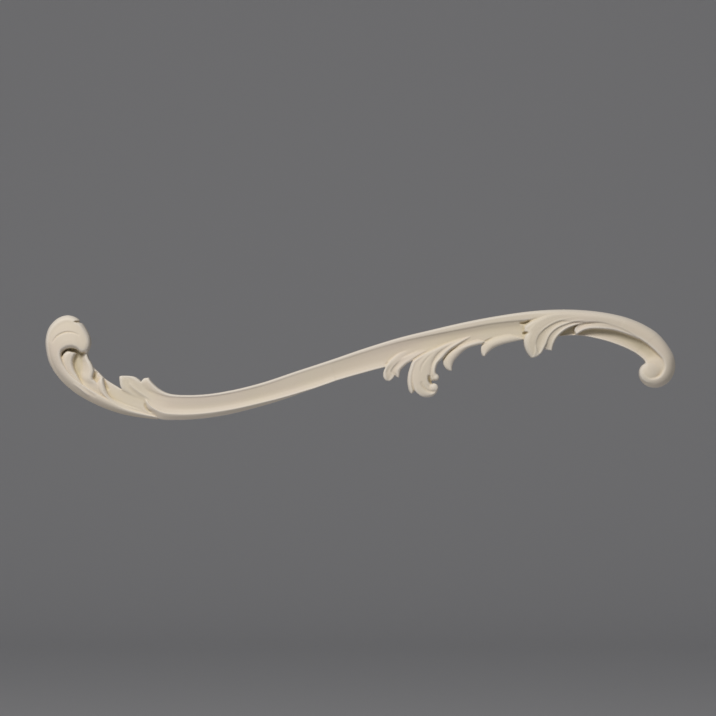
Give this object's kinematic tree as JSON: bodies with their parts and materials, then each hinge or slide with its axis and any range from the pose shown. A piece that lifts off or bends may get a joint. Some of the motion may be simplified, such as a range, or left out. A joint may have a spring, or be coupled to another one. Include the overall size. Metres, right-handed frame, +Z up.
{
  "type": "scroll applique",
  "caption": "Flat-backed carved scroll applique: an S-curved fluted stem with a curled leaf hood at one end, hanging leaves along it and a scroll eye at the other end.",
  "frame": {"origin": "on the flat back face, behind the middle of the stem", "axes": "+Z up the surface it is fixed to, +X along the length towards the scroll eye, +Y out of the flat back into that surface; the carved front faces -Y"},
  "size_m": [0.4802, 0.015, 0.0847],
  "materials": {
    "cream_resin": "matte cream cast resin, unpainted, a little warmer in the hollows"
  },
  "bodies": {
    "root": {"scroll_applique": "cream_resin"}
  },
  "joints": []
}
